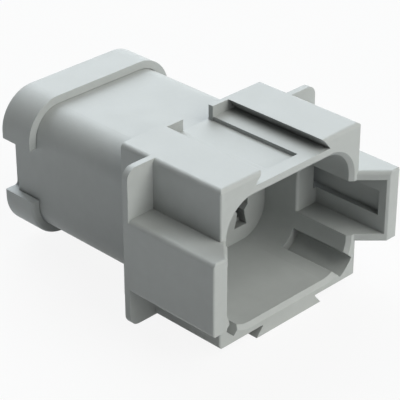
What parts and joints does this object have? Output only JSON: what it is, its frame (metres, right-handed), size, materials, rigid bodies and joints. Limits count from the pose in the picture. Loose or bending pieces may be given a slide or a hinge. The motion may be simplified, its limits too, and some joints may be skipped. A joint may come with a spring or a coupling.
{
  "type": "sealed automotive connector",
  "caption": "Rectangular sealed pin connector shell with keyed mating cavity, latch and guide boxes, wings, dovetail clip slot, wire seal and rear retainer cap.",
  "frame": {"origin": "on the mating axis, in the plane of the shroud's mouth", "axes": "the mating mouth faces -Y, the wires leave towards +Y, the latch box is on +X and the clip slot on +Z"},
  "size_m": [0.041, 0.0528, 0.0286],
  "materials": {
    "housing_plastic": "satin moulded",
    "retainer_plastic": "satin moulded",
    "seal_silicone": "smooth silicone"
  },
  "bodies": {
    "root": {"housing": "housing_plastic", "seal_retainer": "retainer_plastic", "wire_seal": "seal_silicone"}
  },
  "joints": []
}
